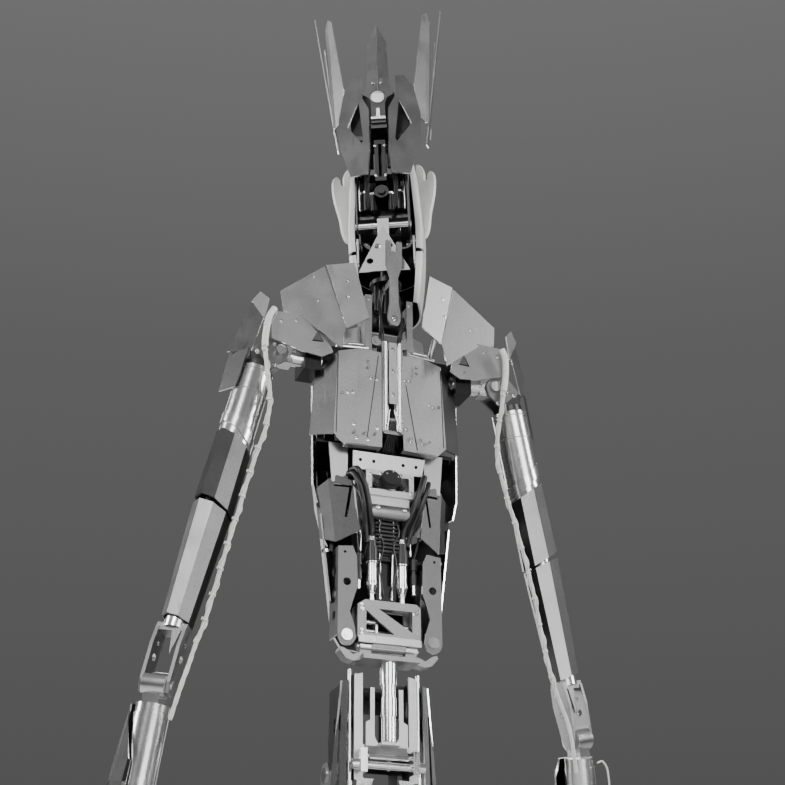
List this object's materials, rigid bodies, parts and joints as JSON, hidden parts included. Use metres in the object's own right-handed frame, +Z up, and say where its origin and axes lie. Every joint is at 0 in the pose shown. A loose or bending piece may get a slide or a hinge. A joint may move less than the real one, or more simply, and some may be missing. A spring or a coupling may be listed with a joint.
{
  "type": "humanoid robot",
  "caption": "Adult-size humanoid robot with folded sheet-metal plates, open-back masked head with a crown of blades, faceted arms and legs, on a bolted floor plate.",
  "frame": {"origin": "on the floor under the middle of the whole robot's bounding box", "axes": "+Z up, the robot faces +Y and its open back faces -Y, +X to the right when seen from behind"},
  "size_m": [0.64, 0.46, 1.9475],
  "materials": {
    "satin_sheet": "satin folded sheet",
    "dark_sheet": "dark anodised sheet",
    "dark_metal": "dark machined metal",
    "bright_steel": "ground bar",
    "bright_aluminium": "bright turned",
    "black_plastic": "matt",
    "black_rubber": "matt",
    "white_shell": "semi-gloss",
    "eye_gloss": "gloss",
    "white_cable": "soft jacket"
  },
  "bodies": {
    "base": {"base_plate": "dark_metal", "feet": "satin_sheet"},
    "lower_legs": {"shanks": "satin_sheet"},
    "upper_legs": {"thighs": "satin_sheet"},
    "pelvis": {"pelvis_frame": "dark_sheet", "hip_shafts": "bright_steel", "hip_panels": "dark_sheet"},
    "waist": {"waist_column": "satin_sheet"},
    "torso": {"torso_pins": "bright_steel", "waist_gate": "satin_sheet", "waist_sides": "dark_sheet", "belly_box": "bright_aluminium", "air_cylinders": "bright_steel", "air_fittings": "black_plastic", "air_hoses": "black_rubber", "back_plates": "satin_sheet", "shoulder_plates": "satin_sheet", "collar_plates": "satin_sheet", "chest_frame": "dark_metal", "neck_base": "satin_sheet", "flank_panels": "dark_sheet", "abdomen_brackets": "dark_sheet", "chest_shell": "satin_sheet"},
    "neck": {"neck_post": "dark_metal", "neck_lever": "satin_sheet"},
    "gimbal": {"head_gimbal": "satin_sheet"},
    "head": {"skull_works": "dark_metal", "skull_frame": "dark_sheet", "crown_windows": "satin_sheet", "crown_blades": "satin_sheet", "face_mask": "white_shell", "ears": "white_shell"},
    "jaw": {"jaw_mask": "white_shell"},
    "eye_left": {"eye_l": "eye_gloss"},
    "eye_right": {"eye_r": "eye_gloss"},
    "shoulder_left": {"shoulder_block_l": "dark_metal"},
    "upper_arm_left": {"arm_bracket_l": "satin_sheet"},
    "turning_arm_left": {"upper_tube_l": "bright_aluminium", "elbow_fork_l": "dark_metal", "arm_shell_l": "satin_sheet", "arm_sleeve_l": "dark_sheet", "arm_cable_l": "white_cable"},
    "forearm_left": {"forearm_l": "bright_aluminium", "forearm_guard_l": "dark_sheet"},
    "hand_left": {"palm_l": "dark_metal"},
    "fingers_left": {"fingers_l": "satin_sheet"},
    "thumb_left": {"thumb_l": "satin_sheet"},
    "shoulder_right": {"shoulder_block_r": "dark_metal"},
    "upper_arm_right": {"arm_bracket_r": "satin_sheet"},
    "turning_arm_right": {"upper_tube_r": "bright_aluminium", "elbow_fork_r": "dark_metal", "arm_shell_r": "satin_sheet", "arm_sleeve_r": "dark_sheet", "arm_cable_r": "white_cable"},
    "forearm_right": {"forearm_r": "bright_aluminium", "forearm_guard_r": "dark_sheet", "forearm_wire_r": "white_cable"},
    "hand_right": {"palm_r": "dark_metal"},
    "fingers_right": {"fingers_r": "satin_sheet"},
    "thumb_right": {"thumb_r": "satin_sheet"}
  },
  "joints": [
    {"name": "ankle_pitch", "type": "hinge", "parent": "base", "child": "lower_legs", "pos_m": [0, -0.032, 0.105], "axis": [-1, 0, 0], "range_deg": [-8, 12]},
    {"name": "knee_bend", "type": "hinge", "parent": "lower_legs", "child": "upper_legs", "pos_m": [0, -0.016, 0.505], "axis": [1, 0, 0], "range_deg": [0, 30]},
    {"name": "hip_bow", "type": "hinge", "parent": "upper_legs", "child": "pelvis", "pos_m": [0, -0.008, 0.915], "axis": [-1, 0, 0], "range_deg": [-6, 25]},
    {"name": "waist_twist", "type": "hinge", "parent": "pelvis", "child": "waist", "pos_m": [0, -0.054, 0.95], "axis": [0, 0, 1], "range_deg": [-28, 28]},
    {"name": "waist_bow", "type": "hinge", "parent": "waist", "child": "torso", "pos_m": [0, -0.05, 1.048], "axis": [-1, 0, 0], "range_deg": [-5, 22]},
    {"name": "neck_lean", "type": "hinge", "parent": "torso", "child": "neck", "pos_m": [0, -0.05, 1.446], "axis": [-1, 0, 0], "range_deg": [-10, 12]},
    {"name": "head_turn", "type": "hinge", "parent": "neck", "child": "gimbal", "pos_m": [-0.0012, -0.04936, 1.54599], "axis": [-0.0269, 0.0125, 0.9996], "range_deg": [-12, 62]},
    {"name": "head_nod", "type": "hinge", "parent": "gimbal", "child": "head", "pos_m": [-0.00222, -0.04888, 1.58397], "axis": [-0.9059, 0.4224, -0.0297], "range_deg": [-15, 18]},
    {"name": "jaw_open", "type": "hinge", "parent": "head", "child": "jaw", "pos_m": [0.01796, -0.00532, 1.58797], "axis": [-0.9059, 0.4224, -0.0297], "range_deg": [0, 8]},
    {"name": "eye_turn_left", "type": "hinge", "parent": "head", "child": "eye_left", "pos_m": [0.02195, 0.0546, 1.62834], "axis": [-0.0269, 0.0125, 0.9996], "range_deg": [-22, 22]},
    {"name": "eye_turn_right", "type": "hinge", "parent": "head", "child": "eye_right", "pos_m": [0.05909, 0.03728, 1.62956], "axis": [-0.0269, 0.0125, 0.9996], "range_deg": [-22, 22]},
    {"name": "arm_swing_left", "type": "hinge", "parent": "torso", "child": "shoulder_left", "pos_m": [-0.134, -0.05, 1.381], "axis": [1, 0, 0], "range_deg": [-18, 45]},
    {"name": "arm_raise_left", "type": "hinge", "parent": "shoulder_left", "child": "upper_arm_left", "pos_m": [-0.134, -0.05, 1.381], "axis": [0, 0.9981, -0.061], "range_deg": [-8, 13]},
    {"name": "arm_turn_left", "type": "hinge", "parent": "upper_arm_left", "child": "turning_arm_left", "pos_m": [-0.15819, -0.05138, 1.35841], "axis": [-0.2521, -0.0591, -0.9659], "range_deg": [-55, 25], "deforming": ["arm_cable_l"]},
    {"name": "elbow_bend_left", "type": "hinge", "parent": "turning_arm_left", "child": "forearm_left", "pos_m": [-0.2575, -0.07466, 0.97784], "axis": [0.7927, -0.5851, -0.1711], "range_deg": [-8, 80]},
    {"name": "wrist_turn_left", "type": "hinge", "parent": "forearm_left", "child": "hand_left", "pos_m": [-0.28382, -0.04754, 0.76314], "axis": [-0.1207, 0.1244, -0.9849], "range_deg": [-60, 60]},
    {"name": "finger_curl_left", "type": "hinge", "parent": "hand_left", "child": "fingers_left", "pos_m": [-0.293, -0.03809, 0.68829], "axis": [-0.3315, -0.9402, -0.0781], "range_deg": [-5, 55]},
    {"name": "thumb_curl_left", "type": "hinge", "parent": "hand_left", "child": "thumb_left", "pos_m": [-0.2667, -0.00938, 0.73033], "axis": [-0.3315, -0.9402, -0.0781], "range_deg": [-5, 30]},
    {"name": "arm_swing_right", "type": "hinge", "parent": "torso", "child": "shoulder_right", "pos_m": [0.134, -0.05, 1.381], "axis": [1, 0, 0], "range_deg": [-18, 45]},
    {"name": "arm_raise_right", "type": "hinge", "parent": "shoulder_right", "child": "upper_arm_right", "pos_m": [0.134, -0.05, 1.381], "axis": [0, -0.9951, -0.0993], "range_deg": [-8, 14]},
    {"name": "arm_turn_right", "type": "hinge", "parent": "upper_arm_right", "child": "turning_arm_right", "pos_m": [0.15767, -0.0477, 1.35794], "axis": [-0.23, -0.0967, 0.9684], "range_deg": [-55, 25], "deforming": ["arm_cable_r"]},
    {"name": "elbow_bend_right", "type": "hinge", "parent": "turning_arm_right", "child": "forearm_right", "pos_m": [0.24831, -0.00962, 0.9764], "axis": [0.889, 0.3839, 0.2495], "range_deg": [-8, 80]},
    {"name": "wrist_turn_right", "type": "hinge", "parent": "forearm_right", "child": "hand_right", "pos_m": [0.28271, 0.0459, 0.76841], "axis": [-0.1578, -0.2547, 0.9541], "range_deg": [-60, 60]},
    {"name": "finger_curl_right", "type": "hinge", "parent": "hand_right", "child": "fingers_right", "pos_m": [0.2947, 0.06525, 0.6959], "axis": [-0.2355, 0.948, 0.2141], "range_deg": [-5, 55]},
    {"name": "thumb_curl_right", "type": "hinge", "parent": "hand_right", "child": "thumb_right", "pos_m": [0.27042, 0.09007, 0.74148], "axis": [-0.2355, 0.948, 0.2141], "range_deg": [-5, 30]}
  ],
  "couplings": [
    {"joint": "eye_turn_right", "follows": "eye_turn_left", "ratio": 1},
    {"joint": "thumb_curl_left", "follows": "finger_curl_left", "ratio": 0.5},
    {"joint": "thumb_curl_right", "follows": "finger_curl_right", "ratio": 0.5}
  ]
}
